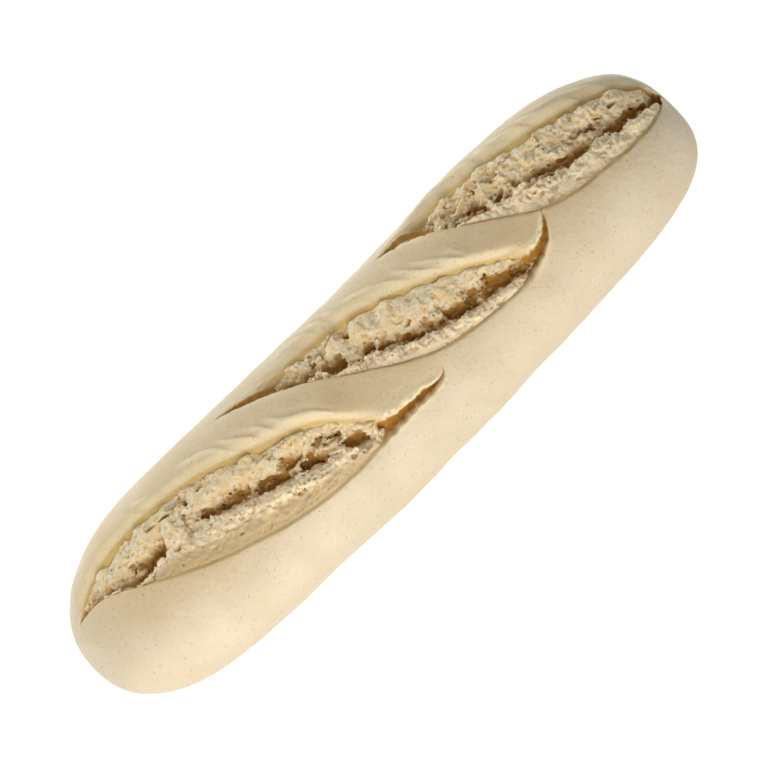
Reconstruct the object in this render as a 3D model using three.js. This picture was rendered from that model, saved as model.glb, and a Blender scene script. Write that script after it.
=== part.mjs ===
// A half-length wheat baguette, baked pale: one loaf whose three slanting slashes burst open in the oven.
// Millimetres. +X runs along the loaf, +Y to its back and +Z up, and it lies on its flat underside at z = 0.
import * as THREE from 'three';
import { ImprovedNoise } from 'three/addons/math/ImprovedNoise.js';
import { mergeVertices } from 'three/addons/utils/BufferGeometryUtils.js';

// The loaf's body.
const LENGTH = 260;
const HALF_WIDTH = 34;
const CROWN_RISE = 28; // from the widest level up to the crown
const UNDERSIDE_DROP = 28; // from the widest level down, before the underside is flattened
const WIDEST_LEVEL = 23; // height of the widest level above the table
const TIP_DROOP = 4; // how far the +X tip hangs below the widest level
const DROOP_START = 80; // where along X the droop begins
const TAPER = 0.018; // share of the width lost per 100 mm towards +X
const SWAY = 1.1; // how far the centre line wanders sideways
const SWAY_PERIOD = 180;
const UNDERSIDE_BLEND = 1; // height over which the underside rounds up from its flat
const END_SHAPES = {
  left: { reach: 64, along: 2.55, across: 2.4 },
  right: { reach: 74, along: 2.8, across: 3 },
};

// Each slash, as it burst open: the shares across its opening where the crumb tore and where the torn top
// of the near lip runs, the shares of its length between which that lip turns out, the widths between which
// its first crack becomes an opening, and its stations: [place along X, far edge, near edge], with the edges
// in degrees from the crown to the back. Before its start and after its end its mesh columns lie aside, from
// one angle down over a span, clear of the other slashes.
const SLASHES = [
  {
    tear: 0.53,
    lip: 0.74,
    lipTurn: [0.15, 0.28],
    opens: [1, 4.5],
    before: [20, 12],
    after: [-84, 45],
    stations: [
      [-123.5, 16, 16],
      [-112, 22.5, 4],
      [-90, 20, -23],
      [-64, 13, -41],
      [-42, -2, -50.5],
      [-22, -17, -52.5],
      [-12, -33, -51],
      [-4, -40.5, -50.5],
      [8, -43.5, -50.5],
      [14, -46, -50],
      [16.8, -44.5, -47.5],
      [18.8, -40, -40],
    ],
  },
  {
    tear: 0.62,
    lip: 0.86,
    lipTurn: [0.34, 0.5],
    opens: [3, 11],
    before: [80, 30],
    after: [-54, 12],
    stations: [
      [-48, 38, 38],
      [-20, 29, 10],
      [0, 26, -15],
      [20, 10.5, -35.5],
      [42, -11, -44.5],
      [62, -31.8, -44.5],
      [67, -32, -40.5],
      [70.5, -29.2, -36.5],
      [73.5, -24.5, -29],
      [75.2, -21.5, -21.5],
    ],
  },
  {
    tear: 0.56,
    lip: 0.77,
    lipTurn: [0.38, 0.54],
    opens: [4, 17],
    before: [120, 30],
    after: [-5, 12],
    stations: [
      [26, 39, 39],
      [38, 43.5, 27],
      [58, 38, -2],
      [78, 28.5, -26],
      [100, 19, -33],
      [114, 18.5, -33],
      [122, 17, -30],
      [127, 9, -20],
      [129, -5, -5],
    ],
  },
];
const BARE_TEAR = 0.88; // shares across the opening where the near lip hasn't turned out
const BARE_LIP = 0.985;
const LATE_LIP = 0.05; // how much nearer to the edge the torn lip runs towards the +X end of a slash
const LIP_CLOSING = [0.55, 0.8]; // shares of the length over which it does
const CLOSING = [0.3, 0.6]; // shares of the length over which a slash passes from opening to closing
const CLOSED_WIDTHS = [5.5, 13]; // widths between which an opening is a crack again
const CRACK_WIDTH = 3.5; // width at which a crack has its full depth

// Heights of an opened slash against the loaf's smooth surface.
const SHOULDER_HEIGHT = 0.4; // where the crust rolls over along the far edge
const GROOVE_DEPTH = 2.8; // where that crust meets the crumb
const DOME_DEPTH = 1.3; // top of the swollen crumb
const CREVICE_DEPTH = 6; // where the crumb tore away from the near lip
const LIP_DEPTH = 0.4; // the near lip that turned out
const EDGE_HEIGHT = 0.1; // edge of the smooth flank
const CRACK_DEPTH = 4.8; // the plain crack that a slash ends in
const FIRST_DEPTH = 0.5; // share of that depth in the crack that it starts with
const CRAG_HEIGHT = 0.9; // lumps of torn crumb
const CRAG_SIZE = 6;
const CRAG_EDGES = [0.05, 0.3, 1.6, 2]; // features between which the lumps start, and stop
const EDGE_STEP = 10; // length that counts as one feature outside the opening

// Across an opening by its features: 0 the far edge, 1 the tear, 2 the torn lip and 3 the near edge.
const OPEN_PROFILE = [
  [-2.6, 0],
  [-0.38, SHOULDER_HEIGHT],
  [0, -GROOVE_DEPTH],
  [0.16, -DOME_DEPTH - 0.4],
  [0.4, -DOME_DEPTH],
  [1, -CREVICE_DEPTH],
  [1.12, -CREVICE_DEPTH],
  [1.9, -LIP_DEPTH - 0.3],
  [2.4, -LIP_DEPTH],
  [2.88, -LIP_DEPTH],
  [3.05, EDGE_HEIGHT],
  [4, 0],
];
// Across a crack, from its far edge at 0 to its near edge at 1.
const CRACK_PROFILE = [
  [-0.7, 0],
  [0.08, SHOULDER_HEIGHT],
  [0.74, -CRACK_DEPTH],
  [0.88, -CRACK_DEPTH],
  [1.02, EDGE_HEIGHT],
  [1.6, 0],
];

// Slanting tongues that the skin behind the far edge is drawn out into.
const TONGUE_HEIGHT = 1;
const TONGUE_LENGTH = 11;
const TONGUE_SLANT = 2.2; // length along X for each length out from the far edge
const TONGUE_TOP = 0.82; // share of a tongue that rises; the rest falls
const TONGUE_SWAY = 0.3;
const TONGUE_SWAY_LENGTH = 41;
const TONGUE_EDGES = [-1.1, -0.4, -0.25, -0.02]; // features between which the tongues rise, and sink
const TONGUE_START = [0.12, 0.3]; // shares of the slash's length over which they set in

// Mesh fineness: rings across the loaf, and columns along each slash and along the rest of the loaf.
const RINGS = 98;
// The features that the columns of a slash run along, from its near side to its far one.
const SLASH_COLUMNS = [3.5, 3.05, 2.88, 2.4, 1.9, 1.12, 1, 0.75, 0.45, 0.16, 0, -0.19, -0.38, -0.8];
const GAP_COLUMNS = 2; // between one slash and the next
const FLANK_COLUMNS = 8; // on either side of the slashes
const COLUMNS_ON_TOP = SLASHES.length * SLASH_COLUMNS.length + (SLASHES.length - 1) * GAP_COLUMNS;
const COLUMNS = COLUMNS_ON_TOP + 2 * FLANK_COLUMNS - 1;
const CLOSED_SPAN = 9; // least angle that the columns of a slash are spread over
const OUTER_SHARE = 0.9; // share of a narrow crack's width that counts as one feature outside it
const ASIDE_LENGTH = 30; // length over which the columns of a slash move aside past its ends
const COLUMN_GAP = 0.4; // least angle between columns
const SLIMMEST = 20; // half-width below which the columns no longer crowd
const END_CROWDING = 0.1; // share by which rings are drawn towards the tips
const END_CROWDING_POWER = 8;

const { smoothstep, clamp, lerp, degToRad } = THREE.MathUtils;
const noise = new ImprovedNoise();

function endShape(fromTip, { reach, along, across }) {
  const inward = clamp(1 - fromTip / reach, 0, 1);
  return (1 - inward ** along) ** (1 / across);
}

// The smooth loaf's section at x: its half-width, half-heights and centre.
function sectionAt(x) {
  const half = LENGTH / 2;
  const size = endShape(half + x, END_SHAPES.left) * endShape(half - x, END_SHAPES.right);
  const droop = clamp((x - DROOP_START) / (half - DROOP_START), 0, 1) ** 2;
  return {
    halfWidth: HALF_WIDTH * size * (1 - (TAPER * x) / 100),
    rise: CROWN_RISE * size,
    drop: UNDERSIDE_DROP * size,
    centreY: -SWAY * Math.cos((2 * Math.PI * x) / SWAY_PERIOD) * size,
    centreZ: WIDEST_LEVEL - TIP_DROOP * droop,
  };
}

// Height of a profile at a place across it, eased from point to point.
function profileHeight(profile, place) {
  const next = profile.findIndex(([at]) => at > place);
  if (next <= 0) return 0;
  const [start, startHeight] = profile[next - 1];
  const [end, endHeight] = profile[next];
  return lerp(startHeight, endHeight, smoothstep(place, start, end));
}

// Share of its height that a tongue of skin has, out from the far edge at x: it rises slowly and falls off.
function tongueAt(x, out) {
  const sway = TONGUE_SWAY * Math.sin((2 * Math.PI * x) / TONGUE_SWAY_LENGTH);
  const turns = (x + TONGUE_SLANT * out) / TONGUE_LENGTH + sway;
  const turn = turns - Math.floor(turns);
  return smoothstep(turn, 0, TONGUE_TOP) * (1 - smoothstep(turn, TONGUE_TOP, 1));
}

// 0 before the first bound, rising to 1 between the first two, and falling to 0 between the last two.
function plateau(value, [start, full, wane, end]) {
  return smoothstep(value, start, full) * (1 - smoothstep(value, wane, end));
}

// One slash as a curve through its stations, asked for its relief at any place.
class Slash {
  constructor({ stations, ...shape }) {
    Object.assign(this, shape);
    this.start = stations[0][0];
    this.end = stations.at(-1)[0];
    const places = stations.map(([x]) => x);
    const edges = stations.flatMap(([, far, near]) => [far, near]);
    this.curve = new THREE.CubicInterpolant(places, edges, 2);
  }

  edgesAt(x) {
    if (x <= this.start || x >= this.end) return null;
    const [far, near] = this.curve.evaluate(x);
    return far > near ? { far, near } : null;
  }

  // How far the slash is a full opening, and not a crack.
  spreadAt(late, width) {
    const [start, full] = this.opens.map((opens, i) => lerp(opens, CLOSED_WIDTHS[i], late));
    return smoothstep(width, start, full);
  }

  travelledAt(x) {
    return clamp((x - this.start) / (this.end - this.start), 0, 1);
  }

  // Shares across the opening of its features: the far edge, the tear, the torn lip and the near edge.
  sharesAt(travelled) {
    const turned = smoothstep(travelled, ...this.lipTurn);
    const turnedLip = this.lip + LATE_LIP * smoothstep(travelled, ...LIP_CLOSING);
    return [0, lerp(BARE_TEAR, this.tear, turned), lerp(BARE_LIP, turnedLip, turned), 1];
  }

  // The feature at a share across the opening.
  featureAt(across, travelled, width) {
    const shares = this.sharesAt(travelled);
    if (across < 0) return (across * width) / EDGE_STEP;
    if (across >= 1) return 3 + ((across - 1) * width) / EDGE_STEP;
    const past = shares.findLastIndex((share) => share <= across);
    return past + (across - shares[past]) / (shares[past + 1] - shares[past]);
  }

  // The angle at which the column along a feature runs, also past the ends of the slash.
  columnAngle(feature, x, section) {
    const within = clamp(x, this.start, this.end);
    const [far, near] = this.curve.evaluate(within);
    const aside = smoothstep(Math.abs(x - within), 0, ASIDE_LENGTH);
    const [asideStart, asideSpan] = x < this.start ? this.before : this.after;
    const start = lerp(far, asideStart, aside);
    const span = lerp(Math.max(far - near, CLOSED_SPAN), asideSpan, aside);
    const width = degToRad(span) * Math.max(section.halfWidth, SLIMMEST);
    const outer = Math.min(EDGE_STEP / width, OUTER_SHARE);
    if (feature < 0) return start - span * outer * feature;
    if (feature > 3) return start - span * (1 + outer * (feature - 3));
    const shares = this.sharesAt(this.travelledAt(x));
    const past = Math.min(Math.floor(feature), 2);
    return start - span * lerp(shares[past], shares[past + 1], feature - past);
  }

  heightAt(x, angle, section) {
    const edges = this.edgesAt(x);
    if (!edges) return 0;
    const arc = degToRad(angle) * section.halfWidth;
    const width = degToRad(edges.far - edges.near) * section.halfWidth;
    const across = (edges.far - angle) / (edges.far - edges.near);
    const travelled = this.travelledAt(x);
    const feature = this.featureAt(across, travelled, width);
    const crags = noise.noise(x / CRAG_SIZE, arc / CRAG_SIZE, this.start) * plateau(feature, CRAG_EDGES);
    const drawnOut = plateau(feature, TONGUE_EDGES) * smoothstep(travelled, ...TONGUE_START);
    const tongue = tongueAt(x, -feature * EDGE_STEP) * drawnOut;
    const open = profileHeight(OPEN_PROFILE, feature) + CRAG_HEIGHT * crags + TONGUE_HEIGHT * tongue;
    const late = smoothstep(travelled, ...CLOSING);
    const crack = profileHeight(CRACK_PROFILE, across) * lerp(FIRST_DEPTH, 1, late);
    return lerp(crack, open, this.spreadAt(late, width)) * smoothstep(width, 0, CRACK_WIDTH);
  }
}

const slashes = SLASHES.map((slash) => new Slash(slash));

// Some angles spread evenly between two others.
function between(low, high, count) {
  return Array.from({ length: count }, (_, i) => lerp(low, high, (i + 1) / (count + 1)));
}

// Angles of a ring's columns, from -180 to 180 degrees: along the slashes, and even between and beside them.
function columnAngles(x) {
  const section = sectionAt(x);
  const along = slashes.map((slash) => (
    SLASH_COLUMNS.map((feature) => slash.columnAngle(feature, x, section))
  ));
  const angles = [-180, ...between(-180, along[0][0], FLANK_COLUMNS - 1)];
  along.forEach((columns, i) => {
    if (i > 0) angles.push(...between(along[i - 1].at(-1), columns[0], GAP_COLUMNS));
    angles.push(...columns);
  });
  angles.push(...between(along.at(-1).at(-1), 180, FLANK_COLUMNS - 1), 180);
  for (let i = 1; i < angles.length - 1; i += 1) {
    angles[i] = Math.max(angles[i], angles[i - 1] + COLUMN_GAP);
  }
  return angles;
}

// Flattens what would reach below the table, with a rounded change into the flat.
function settle(z) {
  if (z > UNDERSIDE_BLEND) return z;
  return Math.max(0, z + UNDERSIDE_BLEND) ** 2 / (4 * UNDERSIDE_BLEND);
}

function loafPoint(x, angle) {
  const section = sectionAt(x);
  const turn = degToRad(angle);
  const tall = Math.cos(turn) > 0 ? section.rise : section.drop;
  const outward = new THREE.Vector2(Math.sin(turn) * tall, Math.cos(turn) * section.halfWidth).normalize();
  const height = slashes.reduce((sum, slash) => sum + slash.heightAt(x, angle, section), 0);
  const y = section.centreY + Math.sin(turn) * section.halfWidth + outward.x * height;
  const z = section.centreZ + Math.cos(turn) * tall + outward.y * height;
  return [x, y, settle(z)];
}

// Splits each four-sided patch of the grid along its shorter diagonal, so that the creases stay crisp.
function splitShorter(geometry) {
  const corners = geometry.index.array;
  const tipTriangles = 3 * COLUMNS;
  const place = (corner) => new THREE.Vector3().fromBufferAttribute(geometry.attributes.position, corner);
  for (let i = tipTriangles; i < corners.length - tipTriangles; i += 6) {
    const [a, b, d, , c] = corners.subarray(i, i + 6);
    if (place(a).distanceTo(place(c)) < place(b).distanceTo(place(d))) {
      corners.set([a, b, c, a, c, d], i);
    }
  }
}

function makeLoaf() {
  const geometry = new THREE.SphereGeometry(1, COLUMNS, RINGS);
  const position = geometry.attributes.position;
  for (let ring = 0; ring <= RINGS; ring += 1) {
    const share = (2 * ring) / RINGS - 1;
    const crowding = 1 + END_CROWDING * (1 - share ** END_CROWDING_POWER);
    const x = (LENGTH / 2) * share * crowding;
    columnAngles(x).forEach((angle, column) => {
      position.setXYZ(ring * (COLUMNS + 1) + column, ...loafPoint(x, angle));
    });
  }
  splitShorter(geometry);
  geometry.deleteAttribute('uv');
  geometry.deleteAttribute('normal');
  const merged = mergeVertices(geometry, 1e-3);
  merged.computeVertexNormals();
  const crust = new THREE.MeshStandardMaterial({ color: '#e9d6b2', roughness: 0.75, metalness: 0 });
  const loaf = new THREE.Mesh(merged, crust);
  loaf.name = 'loaf';
  return loaf;
}

const baguette = new THREE.Group();
baguette.add(makeLoaf());

export default baguette;
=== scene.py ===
import math
from itertools import product

import bpy
import numpy as np
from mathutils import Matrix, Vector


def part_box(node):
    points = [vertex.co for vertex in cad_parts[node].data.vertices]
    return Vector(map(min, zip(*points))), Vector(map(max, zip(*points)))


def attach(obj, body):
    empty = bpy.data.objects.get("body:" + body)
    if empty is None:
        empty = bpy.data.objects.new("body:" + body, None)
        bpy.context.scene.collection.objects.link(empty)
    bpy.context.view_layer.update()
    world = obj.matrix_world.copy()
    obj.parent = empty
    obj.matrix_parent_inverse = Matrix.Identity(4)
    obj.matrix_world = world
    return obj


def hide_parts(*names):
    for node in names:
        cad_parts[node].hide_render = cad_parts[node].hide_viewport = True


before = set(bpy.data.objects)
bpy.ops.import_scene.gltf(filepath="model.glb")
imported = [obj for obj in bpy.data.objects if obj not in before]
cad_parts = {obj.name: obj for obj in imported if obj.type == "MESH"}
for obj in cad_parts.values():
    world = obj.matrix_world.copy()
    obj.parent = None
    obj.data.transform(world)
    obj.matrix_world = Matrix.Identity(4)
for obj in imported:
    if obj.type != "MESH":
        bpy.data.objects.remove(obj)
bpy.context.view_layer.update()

import openvdb
from mathutils import Matrix, Vector, noise

# The crust is the skin of a roll of wheat dough, slashed three times with a slanting blade and baked pale.
# The slashes burst: each far edge curled up and wrinkled, and each near lip turned out, with a trough
# between. Sizes are in millimetres, and angles in degrees from the crown towards the back.
MM = 0.001  # in the frame's metres
HALF_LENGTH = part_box("loaf")[1].x / MM
HALF_WIDTH = 34.0
CROWN_RISE = 28.0  # from the widest level up to the crown
UNDERSIDE_DROP = 28.0  # from the widest level down, before the underside is flattened
WIDEST_LEVEL = 23.0
TIP_DROOP = 4.0  # how far the +X tip hangs below the widest level
DROOP_START = 80.0
TAPER = 0.00018  # share of the width lost for each millimetre towards +X
SWAY = 1.1  # how far the centre line wanders sideways
SWAY_PERIOD = 180.0
LEFT_END = {"reach": 64.0, "along": 2.55, "across": 2.4}  # how far the rounding reaches, and its powers
RIGHT_END = {"reach": 74.0, "along": 2.8, "across": 3.0}


def eased(value, start, end):
    """0 at start, 1 at end, and level at both."""
    share = np.clip((value - start) / (end - start), 0.0, 1.0)
    return share * share * (3.0 - 2.0 * share)


def band(value, start, full, fading, gone):
    """0 up to start and from gone on, 1 from full to fading, and eased between."""
    return eased(value, start, full) * eased(value, gone, fading)


def part_way(first, second, share):
    """The value at a share of the way from the first to the second."""
    return first + (second - first) * share


def end_size(from_tip, reach, along, across):
    """Size of the section near a rounded end, as a share of its full size."""
    inward = np.clip(1.0 - from_tip / reach, 0.0, 1.0)
    return (1.0 - inward**along) ** (1.0 / across)


def section_at(x):
    """Half-width, rise, drop, and centre of the smooth loaf's section at x."""
    size = end_size(HALF_LENGTH + x, **LEFT_END) * end_size(HALF_LENGTH - x, **RIGHT_END)
    droop = np.clip((x - DROOP_START) / (HALF_LENGTH - DROOP_START), 0.0, 1.0) ** 2
    half_width = HALF_WIDTH * size * (1.0 - TAPER * x)
    centre_y = -SWAY * np.cos(2.0 * math.pi * x / SWAY_PERIOD) * size
    centre_z = WIDEST_LEVEL - TIP_DROOP * droop
    return half_width, CROWN_RISE * size, UNDERSIDE_DROP * size, centre_y, centre_z


def surface_point(x, angle, height):
    """Points at a height over the smooth loaf."""
    half_width, rise, drop, centre_y, centre_z = section_at(x)
    turn = np.radians(angle)
    tall = np.where(np.cos(turn) > 0.0, rise, drop)
    y_out = np.sin(turn) * tall
    z_out = np.cos(turn) * half_width
    lift = height / np.hypot(y_out, z_out)
    y = centre_y + np.sin(turn) * half_width + y_out * lift
    z = centre_z + np.cos(turn) * tall + z_out * lift
    return np.stack([x, y, z], 1)


def unrolled(points):
    """Angle from the crown, and height over the smooth loaf, of points on its upper half."""
    half_width, rise, _, centre_y, centre_z = section_at(points[:, 0])
    sideways = (points[:, 1] - centre_y) / half_width
    upwards = (points[:, 2] - centre_z) / rise
    turn = np.arctan2(sideways, upwards)
    radius = half_width * rise / np.hypot(np.sin(turn) * rise, np.cos(turn) * half_width)
    return np.degrees(turn), (np.hypot(sideways, upwards) - 1.0) * radius


def grain(points, size, shift=0.0):
    """Smooth noise of a grain size at each point. A shift gives other noise of the same kind."""
    return np.array([noise.noise(p) for p in (points / size + shift).tolist()])


def layered(points, layers):
    """A sum of grains, each given as (height, size, shift)."""
    return sum(height * grain(points, size, shift) for height, size, shift in layers)


FAR_OUT = -9.0  # share across where there is no opening to measure by
LEAST_WIDTH = 0.01
MIDWAY = (0.3, 0.6)  # shares of a slash's length over which its start gives way to its end
END_OPENS = (5.5, 13.0)  # widths over which the end of a slash turns from a crack into an opening
TEAR_WANDER = 0.05  # how far the tear strays, as a share of the width
TEAR_WANDER_SIZE = 13.0
TEAR_WANDER_BAND = (0.05, 0.4, 0.85, 1.1)  # shares across that stray with it
BARE_TEAR = 0.88  # shares across the opening where the near lip hasn't turned out
BARE_LIP = 0.985
LATE_LIP = 0.05  # how much nearer to the edge the torn lip runs towards the right end
LATE_LIP_STRETCH = (0.55, 0.8)  # shares of the length over which it gets there
EDGE_STEP = 10.0  # length that counts as one feature outside the opening


class Slash:
    """A burst slash.

    Its tear and its torn lip run at shares across it. The lip turns out over a stretch of its length
    (lip_turn), and its start turns from a crack into an opening over a range of widths (opens). Its
    stations are (x, far edge, near edge), its hollows (x, share across, half-length, half-width), and
    its bridges of crumb over the tear (x, half-length).
    """

    def __init__(self, tear, lip, lip_turn, opens, stations, hollows, bridges):
        self.tear = tear
        self.lip = lip
        self.lip_turn = lip_turn
        self.opens = opens
        self.x, self.far, self.near = np.array(stations, float).T
        self.hollows = hollows
        self.bridges = bridges
        along = np.arange(self.x[0], self.x[-1])
        # Its noise is read along this line, whose second number sets the slashes apart.
        self.line = np.stack([along, np.full_like(along, self.x[0]), np.zeros_like(along)], 1)
        self.strays = grain(self.line, TEAR_WANDER_SIZE)

    def through(self, values, x):
        """A smooth curve through the values at the stations, read at x."""
        steps = np.diff(values) / np.diff(self.x)
        slopes = np.concatenate([steps[:1], 0.5 * (steps[1:] + steps[:-1]), steps[-1:]])
        i = np.clip(np.searchsorted(self.x, x) - 1, 0, len(self.x) - 2)
        gap = self.x[i + 1] - self.x[i]
        share = (x - self.x[i]) / gap
        back = 1.0 - share
        start = values[i] * (1.0 + 2.0 * share) + slopes[i] * gap * share
        end = values[i + 1] * (1.0 + 2.0 * back) - slopes[i + 1] * gap * back
        return start * back**2 + end * share**2

    def edges(self, x):
        """Angles of the far and the near edge, both 0 past the ends of the slash."""
        inside = (x > self.x[0]) & (x < self.x[-1])
        far = np.where(inside, self.through(self.far, x), 0.0)
        near = np.where(inside, self.through(self.near, x), 0.0)
        return far, np.minimum(near, far)

    def across(self, x, angle):
        """Share of the way from the far edge to the near one, and the opening's width."""
        far, near = self.edges(x)
        width = np.radians(far - near) * section_at(x)[0]
        share = np.full_like(x, FAR_OUT)
        np.divide(far - angle, far - near, out=share, where=width > LEAST_WIDTH)
        return share, width

    def travelled(self, x):
        """Share of the slash's length from its start to x."""
        return np.clip((x - self.x[0]) / (self.x[-1] - self.x[0]), 0.0, 1.0)

    def late(self, x):
        """0 over the slash's start, and 1 over its end."""
        return eased(self.travelled(x), *MIDWAY)

    def spread(self, x, width):
        """How far the slash is a full opening, and not a crack."""
        late = self.late(x)
        start, full = [part_way(early, end, late) for early, end in zip(self.opens, END_OPENS)]
        return eased(width, start, full)

    def features(self, x, across, width):
        """The share across as features: 0 at the far edge, 1 tear, 2 torn lip and 3 near edge."""
        travelled = self.travelled(x)
        turned = eased(travelled, *self.lip_turn)
        tear = part_way(BARE_TEAR, self.tear, turned)
        lip = part_way(BARE_LIP, self.lip + LATE_LIP * eased(travelled, *LATE_LIP_STRETCH), turned)
        stray = np.interp(x, self.line[:, 0], self.strays)
        torn = across + TEAR_WANDER * stray * band(across, *TEAR_WANDER_BAND)
        conditions = [torn < 0.0, torn < tear, torn < lip, torn < 1.0]
        places = [
            torn * width / EDGE_STEP,
            torn / tear,
            1.0 + (torn - tear) / (lip - tear),
            2.0 + (torn - lip) / (1.0 - lip),
        ]
        return np.select(conditions, places, 3.0 + (torn - 1.0) * width / EDGE_STEP)


SLASHES = [
    Slash(
        tear=0.51,
        lip=0.67,
        lip_turn=(0.15, 0.28),
        opens=(1.0, 4.5),
        stations=[
            (-123.5, 16, 16),
            (-112, 22.5, 4),
            (-90, 20, -23),
            (-64, 13, -41),
            (-42, -2, -50.5),
            (-22, -17, -52.5),
            (-12, -33, -51),
            (-4, -40.5, -50.5),
            (8, -43.5, -50.5),
            (14, -46, -50),
            (16.8, -44.5, -47.5),
            (18.8, -40, -40),
        ],
        hollows=[
            (-114, 0.84, 6.0, 1.3),
            (-106, 0.86, 5.0, 1.4),
            (-99, 0.80, 5.0, 2.0),
            (-91, 0.57, 6.0, 2.6),
            (-71, 0.18, 2.5, 1.3),
            (-63, 0.43, 7.0, 2.1),
            (-51.5, 0.44, 3.0, 1.6),
            (-47, 0.45, 5.5, 2.2),
            (-38.5, 0.36, 4.5, 1.7),
            (-33, 0.50, 4.5, 2.2),
            (-24, 0.30, 5.0, 1.2),
            (-18, 0.58, 4.5, 2.6),
        ],
        bridges=[(-79, 7.0), (-12.5, 4.0)],
    ),
    Slash(
        tear=0.62,
        lip=0.86,
        lip_turn=(0.22, 0.50),
        opens=(5.0, 14.0),
        stations=[
            (-48, 38, 38),
            (-20, 29, 10),
            (0, 26, -15),
            (20, 10.5, -35.5),
            (42, -11, -44.5),
            (62, -31.8, -44.5),
            (67, -32, -40.5),
            (70.5, -29.2, -36.5),
            (73.5, -24.5, -29),
            (75.2, -21.5, -21.5),
        ],
        hollows=[
            (-31, 0.60, 7.0, 2.0),
            (-19, 0.68, 6.0, 2.4),
            (-8, 0.22, 3.0, 1.1),
            (-5, 0.62, 5.0, 2.1),
            (1.3, 0.15, 1.8, 1.0),
            (9, 0.58, 6.0, 1.5),
            (17, 0.64, 7.0, 2.0),
            (33, 0.65, 13.0, 2.1),
            (50, 0.56, 14.0, 2.6),
        ],
        bridges=[(61.3, 1.2)],
    ),
    Slash(
        tear=0.56,
        lip=0.77,
        lip_turn=(0.20, 0.52),
        opens=(8.0, 20.0),
        stations=[
            (26, 39, 39),
            (38, 43.5, 27),
            (58, 38, -2),
            (78, 28.5, -26),
            (100, 19, -33),
            (114, 18.5, -33),
            (122, 17, -30),
            (127, 9, -20),
            (129, -5, -5),
        ],
        hollows=[
            (49, 0.42, 8.0, 1.8),
            (60, 0.55, 9.0, 1.6),
            (69, 0.26, 6.0, 0.9),
            (76, 0.53, 9.0, 1.6),
            (93, 0.60, 11.0, 1.6),
            (101, 0.36, 5.0, 1.4),
            (113, 0.57, 10.0, 2.3),
            (126, 0.57, 2.5, 1.5),
        ],
        bridges=[],
    ),
]

# Heights of the crust across an opening, at the features that Slash.features gives.
OPEN_PROFILE = [
    (-2.60, 0.0),  # smooth crust
    (-0.42, 0.8),  # shoulder where the far edge rolls over
    (-0.04, -1.9),  # groove at its foot
    (0.05, -2.6),
    (0.20, -8.0),  # trough that the crumb fills
    (1.60, -8.0),
    (2.00, -3.0),
    (2.50, -1.6),  # near lip under its torn crumb
    (2.93, -0.9),  # crease
    (3.06, 0.15),  # edge of the flank
    (4.00, 0.0),  # smooth flank
]
# Heights across the wedge that a slash starts with, by the share from its far edge to its near one.
WEDGE_PROFILE = [
    (-0.70, 0.0),
    (-0.04, 0.3),
    (0.05, -0.5),  # groove at the foot of the far edge
    (0.13, -0.1),  # dough that swelled but didn't tear
    (0.55, -1.7),
    (0.92, -1.9),
    (1.02, 0.1),
    (1.60, 0.0),
]
# Heights across the plain crack that a slash ends in, by the same share.
CRACK_PROFILE = [
    (-0.70, 0.0),
    (0.08, 0.4),
    (0.70, -4.8),
    (0.92, -4.8),
    (1.02, 0.3),
    (1.60, 0.0),
]
CRACK_WIDTHS = (0.0, 3.5)  # widths over which a crack reaches its depth


def height_across(profile, place):
    """Height at places across a slash, eased from point to point of a profile."""
    height = np.zeros_like(place)
    for (start, start_height), (end, end_height) in zip(profile, profile[1:]):
        inside = (place >= start) & (place < end)
        height[inside] = part_way(start_height, end_height, eased(place[inside], start, end))
    return height


RINGS = 616
COLUMNS = 160
END_CROWDING = 0.1  # share by which rings are drawn towards the tips
END_CROWDING_POWER = 8
ANGLE_STEP = 0.125
OPENING_DENSITY = 7.0  # extra columns in an opening for each one on the smooth flank
OPENING_BAND = (-0.6, -0.2, 1.1, 1.5)  # shares across that have them
ring_share = np.linspace(-1.0, 1.0, RINGS + 1)[1:-1]
ring_x = HALF_LENGTH * ring_share * (1.0 + END_CROWDING * (1.0 - ring_share**END_CROWDING_POWER))
fine_angle = np.arange(-180.0, 180.0 + ANGLE_STEP, ANGLE_STEP)
column_share = np.arange(COLUMNS) / COLUMNS


def column_angles(x):
    """Angles of one ring's columns, crowded into the openings that it crosses."""
    density = np.ones_like(fine_angle)
    for slash in SLASHES:
        across, width = slash.across(np.full_like(fine_angle, x), fine_angle)
        density += OPENING_DENSITY * band(across, *OPENING_BAND) * (width > 0.0)
    total = np.cumsum(density)
    return np.interp(column_share, (total - total[0]) / (total[-1] - total[0]), fine_angle)


x = np.repeat(ring_x, COLUMNS)
angle = np.concatenate([column_angles(at) for at in ring_x])
smooth = surface_point(x, angle, np.zeros_like(x))

SKIN_WAVES = [(0.5, 22.0, 0.0), (0.25, 9.0, 5.0), (0.06, 2.5, 8.0)]  # height, size and shift of each
RAGGED = 0.15  # how far the near edge of a crack strays, as a share of its width
RAGGED_SIZE = 2.4
RAGGED_FAR = 0.3  # share of the straying that its far edge has
RAGGED_GROWS = (0.4, 0.8)  # shares across over which it grows to the full amount
TORN_DOUGH = [(1.0, 1.5, 15.0), (0.5, 0.8, 16.0)]  # height, size and shift of the lumps in a crack
TORN_DOUGH_BAND = (-0.1, 0.15, 0.9, 1.0)  # shares across that have them
WEDGE_DOUGH = 0.2  # share of their height in the wedge that a slash starts with
TONGUE_HEIGHT = 0.75  # slanting tongues that the skin behind the far edge is drawn out into
TONGUE_LENGTH = 11.0
TONGUE_SLANT = 2.2  # length along the loaf for each length out from the far edge
TONGUE_TOP = 0.82  # share of a tongue that rises; the rest falls
TONGUE_SWAY = 0.3  # how far the row is drawn together and apart, as a share of a tongue's length
TONGUE_SWAY_LENGTH = 41.0
TONGUE_STRAY = 0.5  # how far single tongues stray, as a share of their length
TONGUE_STRAY_SIZE = 12.0
TONGUE_GAPS = (-0.5, 0.1)  # noise over which tongues grow from nothing to their full height
TONGUE_GAPS_SIZE = 14.0
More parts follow.
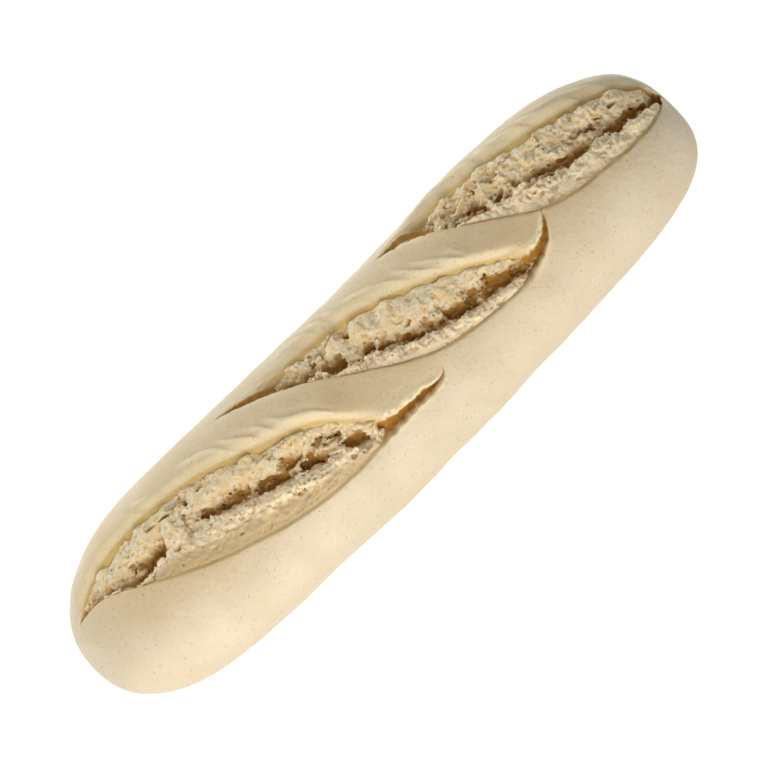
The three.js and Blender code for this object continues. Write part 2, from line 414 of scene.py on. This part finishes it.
TONGUE_STRETCH = (0.12, 0.3)  # shares of a slash's length over which its tongues set in
TONGUE_BAND = (-1.1, -0.4, -0.25, -0.02)  # features that they lie between
wave = TONGUE_SWAY * np.sin(2.0 * math.pi * x / TONGUE_SWAY_LENGTH)
tongue_sway = wave + TONGUE_STRAY * grain(smooth, TONGUE_STRAY_SIZE)
tongue_size = eased(grain(smooth, TONGUE_GAPS_SIZE, shift=3.0), *TONGUE_GAPS)
raggedness = RAGGED * grain(smooth, RAGGED_SIZE, shift=6.0)
torn_dough = layered(smooth, TORN_DOUGH)


def tongues(slash, place):
    """How high the tongues behind the far edge of a slash stand, from 0 to 1."""
    turn = ((x - TONGUE_SLANT * place * EDGE_STEP) / TONGUE_LENGTH + tongue_sway) % 1.0
    ridge = band(turn, 0.0, TONGUE_TOP, TONGUE_TOP, 1.0)
    return ridge * tongue_size * eased(slash.travelled(x), *TONGUE_STRETCH) * band(place, *TONGUE_BAND)


TROUGH_MIDDLE = 1.5  # feature that parts the far half of a trough from its near half
GROOVE = (-0.17, -0.05)  # features over which the far edge turns cream
CREASE_BAND = (2.5, 2.9, 3.0, 3.08)  # features that the cream crease lies between
CREASE_CREAM = 0.6
WEDGE_SHADE = (0.12, 0.25)  # shares across over which the hollow of a wedge darkens with painted shade
CUT_SHADE_DEPTHS = (0.3, 1.4)  # depths over which a crack darkens with painted shade over its dough colour
CUT_SPREADS = (0.95, 0.4)  # from an opening that shows none to a crack
CUT_EDGE = (0.96, 0.9)  # shares across where it ends at the near edge
ROLLED = (-0.5, -0.22)  # features over which the rolled edge turns pale, and partly a painted highlight where it faces the light
RIM_BAND = (-0.3, -0.1, 1.1, 1.4)  # shares across that the pale rim of a crack lies between, partly a painted highlight on its edge
PALE_TONGUES = (0.1, 0.7)  # heights over which tongues turn pale, partly a painted highlight on their raised faces
height = layered(smooth, SKIN_WAVES)
cream = np.zeros_like(x)
cut_dough_shade = np.zeros_like(x)
pale_and_lit = np.zeros_like(x)
for slash in SLASHES:
    across, width = slash.across(x, angle)
    place = slash.features(x, across, width)
    spread = slash.spread(x, width)
    late = slash.late(x)
    depth = eased(width, *CRACK_WIDTHS)
    tongue = tongues(slash, place)
    open_height = height_across(OPEN_PROFILE, place) + TONGUE_HEIGHT * tongue
    ragged = across + raggedness * part_way(RAGGED_FAR, 1.0, eased(across, *RAGGED_GROWS))
    wedge_height = height_across(WEDGE_PROFILE, ragged)
    crack_height = part_way(wedge_height, height_across(CRACK_PROFILE, ragged), late)
    crack_height += torn_dough * band(across, *TORN_DOUGH_BAND) * part_way(WEDGE_DOUGH, 1.0, late)
    height += depth * part_way(crack_height, open_height, spread)

    far_half = place < TROUGH_MIDDLE
    crease = CREASE_CREAM * band(place, *CREASE_BAND)
    cream = np.maximum(cream, spread * np.maximum(eased(place, *GROOVE) * far_half, crease))
    # The exposed dough's colour, deepened into painted shade with a crack's depth and in the hollow of a
    # wedge.
    shade_depth = np.maximum(eased(-crack_height, *CUT_SHADE_DEPTHS), eased(ragged, *WEDGE_SHADE) * (1.0 - late))
    crack = shade_depth * eased(spread, *CUT_SPREADS) * eased(ragged, *CUT_EDGE)
    cut_dough_shade = np.maximum(cut_dough_shade, depth * crack)
    # Paler fresh skin on the rolled far edge, the tongues and the crack rims, brightened further as a
    # painted highlight.
    rolled = eased(place, *ROLLED) * far_half
    rim = band(across, *RIM_BAND) * (1.0 - crack)
    pale_and_lit = np.maximum(pale_and_lit, spread * np.maximum(rolled, eased(tongue, *PALE_TONGUES)))
    pale_and_lit = np.maximum(pale_and_lit, depth * (1.0 - spread) * rim)

UNDERSIDE_BLEND = 1.0  # height over which the underside rounds up from its flat
points = surface_point(x, angle, height)
settled = np.maximum(0.0, points[:, 2] + UNDERSIDE_BLEND) ** 2 / (4.0 * UNDERSIDE_BLEND)
points[:, 2] = np.where(points[:, 2] > UNDERSIDE_BLEND, points[:, 2], settled)
tips = [(-HALF_LENGTH, 0.0, WIDEST_LEVEL), (HALF_LENGTH, 0.0, WIDEST_LEVEL - TIP_DROOP)]
left_tip = len(ring_x) * COLUMNS
right_tip = left_tip + 1
last_ring = left_tip - COLUMNS
crust_faces = []
for column in range(COLUMNS):
    beside = (column + 1) % COLUMNS
    crust_faces.append((left_tip, beside, column))
    crust_faces.append((right_tip, last_ring + column, last_ring + beside))
    for ring in range(0, last_ring, COLUMNS):
        following = ring + COLUMNS
        crust_faces.append((ring + column, ring + beside, following + beside, following + column))


def add_piece(name, corners, faces, zones):
    """A smooth piece of bread, with three shares for each corner that its material mixes by."""
    mesh = bpy.data.meshes.new(name)
    mesh.from_pydata((corners * MM).tolist(), [], faces)
    mesh.polygons.foreach_set("use_smooth", np.ones(len(mesh.polygons), bool))
    mixed = np.ones((len(corners), 4), np.float32)
    for channel, share in enumerate(zones):
        mixed[:, channel] = np.clip(share, 0.0, 1.0)
    mesh.color_attributes.new("zones", "FLOAT_COLOR", "POINT").data.foreach_set("color", mixed.ravel())
    piece = bpy.data.objects.new(name, mesh)
    bpy.context.scene.collection.objects.link(piece)
    return piece


crust_corners = np.concatenate([points, tips])
crust_zones = [np.append(zone, np.zeros(len(tips))) for zone in (cream, cut_dough_shade, pale_and_lit)]
crust = add_piece("crust", crust_corners, crust_faces, crust_zones)


class Value:
    """A shader socket that can stand in differences and products: each adds a Math node."""

    def __init__(self, finish, socket):
        self.finish = finish
        self.socket = socket

    def math(self, operation, first, second):
        return self.finish.node("ShaderNodeMath", {"operation": operation}, {0: first, 1: second})

    def __sub__(self, other):
        return self.math("SUBTRACT", self, other)

    def __rsub__(self, other):
        return self.math("SUBTRACT", other, self)

    def __mul__(self, other):
        return self.math("MULTIPLY", self, other)

    __rmul__ = __mul__


class Finish:
    """A procedural material and the nodes that make it."""

    def __init__(self, name):
        self.material = bpy.data.materials.new(name)
        self.material.use_nodes = True
        self.tree = self.material.node_tree
        self.surface = self.tree.nodes["Principled BSDF"]

    def feed(self, node, sockets):
        """Links values to a node's sockets, or sets plain ones on them."""
        for name, value in sockets.items():
            if isinstance(value, Value):
                self.tree.links.new(value.socket, node.inputs[name])
            else:
                node.inputs[name].default_value = value

    def node(self, kind, settings, sockets, output=0):
        """A new node of any kind, as the value of one of its outputs."""
        made = self.tree.nodes.new(kind)
        for name, setting in settings.items():
            setattr(made, name, setting)
        self.feed(made, sockets)
        return Value(self, made.outputs[output])

    def blend(self, share, first, second):
        return self.node("ShaderNodeMix", {"data_type": "RGBA"}, {0: share, 6: first, 7: second}, 2)

    def eased(self, value, start, end):
        sockets = {"Value": value, "From Min": start, "From Max": end}
        return self.node("ShaderNodeMapRange", {"interpolation_type": "SMOOTHSTEP"}, sockets)

    def cloud(self, spot, scale, detail):
        sockets = {"Vector": spot, "Scale": scale, "Detail": detail}
        return self.node("ShaderNodeTexNoise", {}, sockets, "Fac")

    def roughen(self, relief, strength):
        """Lets fine relief, in metres, catch the light."""
        sockets = {"Height": relief, "Strength": strength, "Distance": 1.0}
        self.feed(self.surface, {"Normal": self.node("ShaderNodeBump", {}, sockets)})

    def spot(self):
        """The place on the piece, in metres."""
        return self.node("ShaderNodeTexCoord", {}, {}, "Object")

    def zones(self):
        """The three shares that add_piece gave each corner."""
        painted = self.node("ShaderNodeVertexColor", {"layer_name": "zones"}, {})
        return [self.node("ShaderNodeSeparateColor", {}, {0: painted}, channel) for channel in range(3)]


SCATTER_COLOUR = (1.0, 0.75, 0.5)  # red light goes further in bread than blue
SCATTER_DEPTH = 0.0014  # metres
BREAD_SHINE = 0.3


def bake(finish, colour, roughness, softness):
    """Gives a finish its colour and the soft, waxy look of baked flour."""
    finish.feed(
        finish.surface,
        {
            "Base Color": colour,
            "Roughness": roughness,
            "Specular IOR Level": BREAD_SHINE,
            "Subsurface Weight": softness,
            "Subsurface Radius": SCATTER_COLOUR,
            "Subsurface Scale": SCATTER_DEPTH,
        },
    )


CRUST_PALE = (0.85, 0.73, 0.53, 1.0)
CRUST_DEEP = (0.80, 0.67, 0.46, 1.0)
CRUST_BAKED_AND_SHADED = (0.80, 0.60, 0.31, 1.0)
# Painted shade: a darker, duller crust colour laid on low down on the flank, near the floor.
CRUST_PAINTED_SHADE = (0.62, 0.515, 0.355, 1.0)
BRAN = (0.36, 0.20, 0.085, 1.0)
CREST_PALE_AND_LIT = (0.97, 0.82, 0.53, 1.0)
CREAM = (0.82, 0.58, 0.22, 1.0)
CUT_DOUGH_SHADE = (0.53, 0.27, 0.045, 1.0)
CLOUDED = (0.35, 0.65)  # noise over which one colour gives way to another
CROWN_LEVELS = (0.036, 0.051)  # metres above the table over which the crust gets browner, partly from baking and partly as painted shade on the top
CROWN_BROWNING_AND_SHADE = 0.65
SHADED_FLANK_LEVELS = (0.038, 0.012)  # metres above the table over which painted shade darkens the flank downwards, towards the floor
FLANK_PAINTED_SHADE = 0.9
PALE_AND_LIT_SHARE = 0.9
FLOURED = (0.56, 0.70)  # noise over which grains of coarse flour show
FLOUR_SHARE = 0.12
FLOUR_RELIEF = 0.0006  # metres
SPECK_SCALE = 600.0  # places for a speck of bran in each metre
SPECK_EDGE = (0.24, 0.10)  # distance from its middle, as a share of such a place
SPECK_CHANCE = (0.62, 0.95)  # random shares over which a place holds one
SPECK_SHARE = 0.5
baked = Finish("crust")
crust_spot = baked.spot()
is_cream, is_cut_dough_shade, is_pale_and_lit = baked.zones()
level = baked.node("ShaderNodeSeparateXYZ", {}, {0: crust_spot}, "Z")
cloudy = baked.eased(baked.cloud(crust_spot, scale=60.0, detail=4.0), *CLOUDED)
flour = baked.cloud(crust_spot, scale=700.0, detail=3.0)
speck_edge, speck_pick = [
    baked.node("ShaderNodeTexVoronoi", {}, {"Vector": crust_spot, "Scale": SPECK_SCALE}, output)
    for output in ("Distance", "Color")
]
speck_chance = baked.node("ShaderNodeSeparateColor", {}, {0: speck_pick}, "Red")
specks = baked.eased(speck_edge, *SPECK_EDGE) * baked.eased(speck_chance, *SPECK_CHANCE)
crust_colour = baked.blend(cloudy, CRUST_PALE, CRUST_DEEP)
for share, colour in [
    # Browner crown: partly the bake, partly painted shade on the top of the loaf.
    (baked.eased(level, *CROWN_LEVELS) * CROWN_BROWNING_AND_SHADE, CRUST_BAKED_AND_SHADED),
    # Painted shade low on the flank, near the floor.
    (baked.eased(level, *SHADED_FLANK_LEVELS) * FLANK_PAINTED_SHADE, CRUST_PAINTED_SHADE),
    # Pale crest: fresh skin, and partly a painted highlight where it faces the light.
    (is_pale_and_lit * PALE_AND_LIT_SHARE, CREST_PALE_AND_LIT),
    (is_cream, CREAM),
    # Dough in the cracks and wedges, darkened as painted shade.
    (is_cut_dough_shade, CUT_DOUGH_SHADE),
    (baked.eased(flour, *FLOURED) * FLOUR_SHARE, BRAN),
    (specks * SPECK_SHARE * (1 - is_cut_dough_shade), BRAN),
]:
    crust_colour = baked.blend(share, crust_colour, colour)
bake(baked, crust_colour, roughness=0.62, softness=0.25)
baked.roughen(flour * FLOUR_RELIEF, strength=0.4)
crust.data.materials.append(baked.material)
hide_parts("loaf")
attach(crust, "root")

# The crumb is the airy inside of the loaf where each slash tore it open: a foam of cells with thin walls.
# Its upper part swelled out and set as a cream skin. Below, where it tore from the near lip, it is white
# and ragged. Each of the three pieces is worked out as a block of voxels and then meshed.
VOXEL = 0.316
SMOOTH_MERGING = 0.06  # how readily the mesh is made coarser where it is smooth, from 0 to 1
# Heights of the crumb across an opening, at the features that Slash.features gives.
CRUMB_PROFILE = [
    (-9.00, -6.0),
    (-0.10, -6.0),  # under the far crust
    (0.00, -3.2),
    (0.06, -2.0),
    (0.16, -1.5),  # dome
    (0.40, -1.3),
    (0.80, -2.9),
    (1.00, -4.5),  # foot of the tear
    (1.06, -4.5),
    (1.25, -3.0),  # torn wall of the near lip
    (1.85, -0.5),  # ragged top on the near lip
    (2.10, -0.4),
    (2.55, -0.6),
    (2.88, -0.8),  # crease
    (3.00, -4.0),  # under the flank's edge
    (9.00, -4.0),
]
CRACK_FLOOR = -6.5  # height of the crumb in a crack, under its dough
CRUMB_DEPTH = 8.6
TUCK = 0.05  # share of the width by which the crumb is tucked in under the crust
TEAR_FILL = 2.4  # how much higher the foot of the tear is in places
TEAR_FILL_SIZE = 8.0
TEAR_FILL_LEVELS = (0.0, 0.25)  # noise over which it rises
TEAR_FILL_BAND = (0.7, 0.95, 1.15, 1.5)  # features that it lies between
BRIDGE_TOP = -0.6
BRIDGE_MIDDLE = 0.4  # share across that a bridge's place along the loaf is given for
BRIDGE_SLANT = 0.4  # how far a bridge slants along the loaf, for each length across
BRIDGE_CORE = 0.4  # share of its half-length that is full height
BRIDGE_BAND = (0.05, 0.2, 0.6, 0.85)  # shares across that it spans


def crumb_top(slash, x, place, across, width):
    """Height of the crumb over the smooth loaf, before it is torn."""
    fills = grain(slash.line, TEAR_FILL_SIZE, shift=20.0)
    filled = eased(np.interp(x, slash.line[:, 0], fills), *TEAR_FILL_LEVELS)
    filled *= band(place, *TEAR_FILL_BAND)
    torn_top = height_across(CRUMB_PROFILE, place) + TEAR_FILL * filled
    top = part_way(CRACK_FLOOR, torn_top, slash.spread(x, width))
    for middle, half_length in slash.bridges:
        astray = np.abs(x - middle + (across - BRIDGE_MIDDLE) * BRIDGE_SLANT * width)
        joined = eased(astray, half_length, BRIDGE_CORE * half_length) * band(across, *BRIDGE_BAND)
        top = np.maximum(top, part_way(CRACK_FLOOR, BRIDGE_TOP, joined))
    return top


HOLLOW_LEVEL = -2.4  # height of a hollow's middle
HOLLOW_WIDENING = 1.45  # of the hollows against their half-widths
HOLLOW_SHIFT = 0.5  # how far their middles lie back from the shares across
HOLLOW_LEAN = 0.3  # how far a hollow runs under the near lip, per depth
HOLLOW_HALF_DEPTH = 1.8  # of the narrowest hollow
HOLLOW_DEEPENING = 1.1  # how much deeper it is for each half-width


def hollow_distance(slash, at, across, width, height):
    """Distance outside the nearest hollow."""
    distance = np.full(len(at), np.inf)
    deeper = HOLLOW_LEVEL - height
    for middle, share, half_length, half_width in slash.hollows:
        lengthways = at[:, 0] - middle
        sideways = ((across - share) * width + HOLLOW_SHIFT - HOLLOW_LEAN * deeper) / HOLLOW_WIDENING
        half_depth = HOLLOW_HALF_DEPTH + HOLLOW_DEEPENING * half_width
        squares = (lengthways / half_length) ** 2 + (sideways / half_width) ** 2
        squares += (deeper / half_depth) ** 2
        distance = np.minimum(distance, (np.sqrt(squares) - 1.0) * half_width)
    return distance


ROUNDING = 2.8  # how far the rim of a hollow is rounded


def rounded_least(first, second):
    """The smaller of two distances, rounded where they meet."""
    overlap = np.maximum(ROUNDING - np.abs(first - second), 0.0) / ROUNDING
    return np.minimum(first, second) - 0.25 * ROUNDING * overlap**2


CELL_FACTORS = (73856093, 19349663, 83492791)  # large odd numbers that scatter a cell's three steps
SALT_FACTOR = 40503
MIXING_ROUNDS = [(13, 1274126177), (15, 668265263)]  # shift and factor of each
LAST_SHIFT = 16
LARGEST = 0xFFFFFFFF


def hashed(cell, salt):
    """A fixed random share for each cell of a lattice."""
    mixed = np.full(len(cell), salt * SALT_FACTOR)
    for steps, factor in zip(cell.T, CELL_FACTORS):
        mixed = mixed ^ (steps * factor)
    for shift, factor in MIXING_ROUNDS:
        mixed = ((mixed ^ (mixed >> shift)) * factor) & LARGEST
    return (mixed ^ (mixed >> LAST_SHIFT)) / LARGEST


def cells(points, size):
    """Distance to the wall of the foam cell that each point is in, and that cell's random share."""
    places = points / size
    corner = np.floor(places).astype(np.int64)
    nearest = np.full(len(points), np.inf)
    second = nearest.copy()
    share = np.zeros(len(points))
    for step in product((-1, 0, 1), repeat=3):
        cell = corner + step
        middle = cell + np.stack([hashed(cell, salt) for salt in (1, 2, 3)], 1)
        distance = np.linalg.norm(places - middle, axis=1)
        closer = distance < nearest
        second = np.where(closer, nearest, np.minimum(second, distance))
        share = np.where(closer, hashed(cell, 4), share)
        nearest = np.minimum(nearest, distance)
    return 0.5 * (second - nearest) * size, share


# Roughness of the crumb. A pair holds a height on the dome and one where it is torn, or one above the
# tear and one below it.
TORN = (0.5, 0.9)  # features over which the dome's skin is torn
BELOW = (1.0, 1.25)  # features over which the tear is passed
LUMPS = 2.1
LUMP_SIZE = 5.5
SMALL_LUMPS = (0.9, 1.2)  # dome, torn
SMALL_LUMP_SIZE = 2.2
TUFTS = (0.2, 1.0)  # dome, torn
TUFT_SIZE = 1.3
FUZZ = (0.5, 0.8)  # above, below
FUZZ_SIZE = 0.8
FIBRES = (0.4, 0.0)  # above, below
FIBRE_SIZE = 1.4
FIBRE_RIDGE = 0.35
FIBRE_STRETCH = np.array([0.3, 1.0, 1.0])  # fibres are longer along the loaf
SMOOTH_LIP = (0.3, 1.0)  # share of all this at the foot of the near lip, and above it
SMOOTH_LIP_FEATURES = (2.5, 1.9)
HOLLOW_LUMPS = [(1.6, 4.5, 2.0), (1.1, 2.0, 3.0)]  # height, size and shift of each
HOLLOW_SHAG = 0.6
ROUGHEST = 1.5  # the most that roughness moves the torn surface
# Each row has a cell size, a reach below the torn surface, half the thickness of a wall, and the share
# of open cells on the dome and where it is torn.
FOAM = [
    (2.8, 2.0, 0.3, 0.07, 0.12),
    (1.3, 0.7, 0.22, 0.25, 0.12),
]
FOAM_REACH = FOAM[0][1]
FOAM_MARGIN = 0.6  # how far past its reach foam is worked out
CELL_STRETCH = np.array([1.0 / 1.5, 1.0, 1.0])  # cells are longer along the loaf


def rough_density(at, place, top, hollow):
    """How deep each point lies in the crumb, once it is torn and its cells are open."""
    torn = eased(place, *TORN)
    below = eased(place, *BELOW)
    fuzz = grain(at, FUZZ_SIZE, shift=1.0)
    tufts = grain(at, TUFT_SIZE, shift=4.0)
    fibres = FIBRE_RIDGE - np.abs(grain(at * FIBRE_STRETCH, FIBRE_SIZE, shift=9.0))
    small_lumps = grain(at, SMALL_LUMP_SIZE, shift=7.0)
    lumps = LUMPS * grain(at, LUMP_SIZE) + part_way(*SMALL_LUMPS, torn) * small_lumps
    shag = part_way(*FIBRES, below) * fibres + part_way(*FUZZ, below) * fuzz
    shag += part_way(*TUFTS, torn) * tufts
    surface = top + (lumps + shag) * part_way(*SMOOTH_LIP, eased(place, *SMOOTH_LIP_FEATURES))
    walls = hollow + layered(at, HOLLOW_LUMPS) + HOLLOW_SHAG * (tufts + fuzz)
    exposed = rounded_least(surface, walls)
    density = exposed.copy()
    for size, reach, wall, dome_share, torn_share in FOAM:
        skin = (exposed > -FOAM_MARGIN) & (exposed < reach + FOAM_MARGIN)
        depth, pick = cells(at[skin] * CELL_STRETCH, size)
        is_open = pick < part_way(dome_share, torn_share, torn[skin])
        pore = np.where(is_open, wall - depth, np.inf)
        density[skin] = np.minimum(density[skin], np.maximum(pore, exposed[skin] - reach))
    return density


def crumb_density(slash, at, across, width, height):
    """How deep each point lies in the crumb: positive inside."""
    place = slash.features(at[:, 0], across, width)
    top = crumb_top(slash, at[:, 0], place, across, width) - height
    hollow = hollow_distance(slash, at, across, width, height)
    density = rounded_least(top, hollow)
    near_skin = (density > -ROUGHEST) & (density < ROUGHEST + FOAM_REACH)
    density[near_skin] = rough_density(at[near_skin], place[near_skin], top[near_skin], hollow[near_skin])
    sides = np.minimum((across + TUCK) * width, (1.0 + TUCK - across) * width)
    return np.minimum.reduce([density, sides, height + CRUMB_DEPTH])


def largest_part(count, polygons):
    """Which of the corners belong to the largest connected part."""
    corner = np.concatenate([group.ravel() for group in polygons])
    following = np.concatenate([np.roll(group, -1, axis=1).ravel() for group in polygons])
    starts = np.concatenate([corner, following])
    order = np.argsort(starts, kind="stable")
    ends = np.concatenate([following, corner])[order]
    first = np.searchsorted(starts[order], np.arange(count))
    label = np.arange(count)
    while True:
        joined = np.minimum(label, np.minimum.reduceat(label[ends], first))
        joined = joined[joined]
        if (joined == label).all():
            break
        label = joined
    return label == np.bincount(label).argmax()


def blurred(block, reach):
    """Mean over a cube of some reach round each voxel of a block, with nothing outside the block."""
    span = 2 * reach + 1
    for axis in range(3):
        padded = np.pad(np.moveaxis(block, axis, 0), [(reach + 1, reach), (0, 0), (0, 0)])
        total = np.cumsum(padded, axis=0)
        block = np.moveaxis((total[span:] - total[:-span]) / span, 0, axis)
    return block


PROBES_ALONG = 90  # points along and across a slash that its block is fitted round
PROBES_ACROSS = 13
MARGIN = 0.1  # share of the width that the block goes past the edges
LOWEST = -9.0  # heights that it lies between
HIGHEST = 3.0
NARROWEST = 1.0  # width of a crack that has crumb in it
CAVITY_REACH = 6  # voxels


def crumb_mesh(slash):
    """Corners and faces of the crumb in one slash, and how closed in each corner is."""
    stops = np.linspace(slash.x[0], slash.x[-1], PROBES_ALONG)[1:-1]
    shares = np.linspace(-MARGIN, 1.0 + MARGIN, PROBES_ACROSS)
    probe_x, probe_share = [probe.ravel() for probe in np.meshgrid(stops, shares)]
    far, near = slash.edges(probe_x)
    probe_angle = far - (far - near) * probe_share
    ends = [np.full_like(probe_x, end) for end in (LOWEST, HIGHEST)]
    probes = [surface_point(probe_x, probe_angle, probe_height) for probe_height in ends]
    low = np.min(probes, axis=(0, 1))
    high = np.max(probes, axis=(0, 1))
    axes = [np.arange(start, end, VOXEL) for start, end in zip(low, high)]
    shape = [len(line) for line in axes]
    voxels = np.stack(np.meshgrid(*axes, indexing="ij"), -1).reshape(-1, 3)
    angle, height = unrolled(voxels)
    across, width = slash.across(voxels[:, 0], angle)
    near_by = (width > NARROWEST) & (across > -MARGIN) & (across < 1.0 + MARGIN)
    near_by &= (height > LOWEST) & (height < HIGHEST)
    density = np.full(len(voxels), -1.0)
    inner = voxels[near_by]
    density[near_by] = crumb_density(slash, inner, across[near_by], width[near_by], height[near_by])
    density = np.clip(density, -1.0, 1.0).reshape(shape)
    field = openvdb.FloatGrid(1.0)
    field.copyFromArray(-density)
    corners, *polygons = field.convertToPolygons(isovalue=0.0, adaptivity=SMOOTH_MERGING)
    kept = largest_part(len(corners), polygons)
    renumbered = np.cumsum(kept) - 1
    faces = []
    for group in polygons:
        faces += renumbered[group[kept[group[:, 0]]]].tolist()
    corners = corners[kept]
    closed_in = blurred((density > 0.0).astype(float), CAVITY_REACH)
    nearest = np.clip(np.rint(corners).astype(int), 0, np.array(shape) - 1)
    return corners * VOXEL + low, faces, closed_in[tuple(nearest.T)]


CAVITY_SHADE = (0.56, 0.85)  # how closed in a place is, from the open surface to a deep hollow, over which painted shade darkens it
# Depths over which painted shade darkens the crumb.
HOLLOW_SHADE_DEPTHS = (4.3, 6.1)
# Depths over which ochre stands in for painted shade in the tear.
OCHRE_SHADE_DEPTHS = (3.2, 5.2)
WHITE = (0.85, 1.15)  # features over which the cream skin gives way to white crumb
TAN_AND_SHADED_LIP = (2.05, 2.5)  # features over which the broad lip of the left slash turns tan, partly as painted shade
TAN_AND_SHADED_LIP_STRETCH = (20.0, -40.0)  # x over which slashes get such a lip
CREASE_TAN_AND_SHADE = (2.5, 2.95)  # features over which every lip turns tan, partly as painted shade towards the crease


def crumb_zones(slash, corners, closed_in):
    """Shares of painted shade in hollows, of white crumb, and of ochre crumb that is partly painted shade,
    at each corner.
    """
    angle, height = unrolled(corners)
    across, width = slash.across(corners[:, 0], angle)
    place = slash.features(corners[:, 0], across, width)
    hollow_shade = np.maximum(eased(closed_in, *CAVITY_SHADE), eased(-height, *HOLLOW_SHADE_DEPTHS))
    broad_lip = eased(place, *TAN_AND_SHADED_LIP) * eased(corners[:, 0], *TAN_AND_SHADED_LIP_STRETCH)
    tan_and_shade = np.maximum.reduce([eased(-height, *OCHRE_SHADE_DEPTHS), broad_lip, eased(place, *CREASE_TAN_AND_SHADE)])
    return hollow_shade, eased(place, *WHITE), tan_and_shade


CRUMB_PALE = (0.98, 0.84, 0.60, 1.0)
CRUMB_CREAM = (0.92, 0.71, 0.39, 1.0)
CRUMB_WHITE = (1.0, 0.81, 0.55, 1.0)
CRUMB_OCHRE_AND_SHADE = (0.70, 0.52, 0.29, 1.0)
CRUMB_PAINTED_SHADE = (0.48, 0.25, 0.05, 1.0)
PITTED = (0.55, 0.68)  # noise over which small pits show
PIT_SHARE = 0.5
WHITE_SHARE = 0.9
PORE_RELIEF = 0.0003  # metres
airy = Finish("crumb")
crumb_spot = airy.spot()
is_hollow_shade, is_white, is_tan_and_shade = airy.zones()
ripe = airy.eased(airy.cloud(crumb_spot, scale=300.0, detail=4.0), *CLOUDED)
pits = airy.eased(airy.cloud(crumb_spot, scale=900.0, detail=2.0), *PITTED)
crumb_colour = airy.blend(ripe, CRUMB_PALE, CRUMB_CREAM)
for share, colour in [
    (pits * PIT_SHARE, CRUMB_OCHRE_AND_SHADE),
    (is_white * WHITE_SHARE, CRUMB_WHITE),
    # Tan lips, partly painted shade towards the crease and deep in the tear.
    (is_tan_and_shade, CRUMB_OCHRE_AND_SHADE),
    # Painted shade in the hollows and deep in the tear.
    (is_hollow_shade, CRUMB_PAINTED_SHADE),
]:
    crumb_colour = airy.blend(share, crumb_colour, colour)
bake(airy, crumb_colour, roughness=0.9, softness=0.4)
airy.roughen(airy.cloud(crumb_spot, scale=800.0, detail=4.0) * PORE_RELIEF, strength=0.8)
for number, slash in enumerate(SLASHES, 1):
    crumb_corners, crumb_faces, closed_in = crumb_mesh(slash)
    zones = crumb_zones(slash, crumb_corners, closed_in)
    crumb = add_piece(f"crumb_{number}", crumb_corners, crumb_faces, zones)
    crumb.data.materials.append(airy.material)
    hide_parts("loaf")
    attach(crumb, "root")

# The floor is the plain white ground of a product shot: a sheet of milky acrylic, lit from below so that
# it glows a little. It lies flat under the loaf.
FLOOR_REACH = 3.0  # metres to each side
FLOOR_GLOW = 0.62
floor_sides = [(-1, -1), (1, -1), (1, 1), (-1, 1)]
floor_corners = [(along * FLOOR_REACH, across * FLOOR_REACH, 0.0) for along, across in floor_sides]
floor_mesh = bpy.data.meshes.new("floor")
floor_mesh.from_pydata(floor_corners, [], [(0, 1, 2, 3)])
floor = bpy.data.objects.new("floor", floor_mesh)
bpy.context.scene.collection.objects.link(floor)
acrylic = Finish("milky_acrylic")
acrylic.feed(
    acrylic.surface,
    {
        "Base Color": (0.9, 0.9, 0.9, 1.0),
        "Roughness": 0.8,
        "Emission Color": (1.0, 1.0, 1.0, 1.0),
        "Emission Strength": FLOOR_GLOW,
    },
)
floor_mesh.materials.append(acrylic.material)

# The light is two soft boxes, lamps behind white cloth: one in front and a little to the left, and a
# larger one behind. Both stand 20 to 30 degrees above the table, in an even, pale room.
LOAF_MIDDLE = Vector((0.0, 0.0, WIDEST_LEVEL * MM))


def soft_box(name, towards, distance, size, power, colour):
    """A square lamp in a direction from the loaf, turned towards it."""
    lamp = bpy.data.lights.new(name, "AREA")
    lamp.shape = "SQUARE"
    lamp.size = size
    lamp.energy = power
    lamp.color = colour
    box = bpy.data.objects.new(name, lamp)
    direction = Vector(towards).normalized()
    box.location = LOAF_MIDDLE + direction * distance
    box.rotation_mode = "QUATERNION"
    box.rotation_quaternion = direction.to_track_quat("Z", "Y")
    bpy.context.scene.collection.objects.link(box)


soft_box("front_box", (-0.30, -0.83, 0.50), distance=0.7, size=0.45, power=3.2, colour=(1.0, 0.98, 0.95))
soft_box("back_box", (-0.25, 0.9, 0.38), distance=1.2, size=0.8, power=10.0, colour=(0.94, 0.97, 1.0))
room = bpy.data.worlds.new("room")
room.use_nodes = True
room_light = room.node_tree.nodes["Background"]
room_light.inputs["Color"].default_value = (1.0, 1.0, 1.0, 1.0)
room_light.inputs["Strength"].default_value = 0.18
bpy.context.scene.world = room
bpy.context.scene.view_settings.view_transform = "Standard"

# The camera stands on the loaf's near side and looks down on it through a long lens. It is rolled so that
# the loaf rises to the right in the picture.
ELEVATION = math.radians(58.0)
LOAF_SLOPE = math.radians(44.86)  # of the loaf's length in the picture
PICTURE_WIDTH = 0.2474  # metres at the loaf
AIM = Vector((0.0008, -0.0009, WIDEST_LEVEL * MM))
lens = bpy.data.cameras.new("camera")
lens.sensor_width = 36.0
lens.lens = 180.0
camera = bpy.data.objects.new("camera", lens)
away = Vector((0.0, -math.cos(ELEVATION), math.sin(ELEVATION)))
uphill = Vector((0.0, math.sin(ELEVATION), math.cos(ELEVATION)))
along = Vector((1.0, 0.0, 0.0))
right = along * math.cos(LOAF_SLOPE) - uphill * math.sin(LOAF_SLOPE)
upward = along * math.sin(LOAF_SLOPE) + uphill * math.cos(LOAF_SLOPE)
distance = PICTURE_WIDTH * lens.lens / lens.sensor_width
turned = Matrix((right, upward, away)).transposed().to_4x4()
camera.matrix_world = Matrix.Translation(AIM + away * distance) @ turned
bpy.context.scene.collection.objects.link(camera)
bpy.context.scene.camera = camera
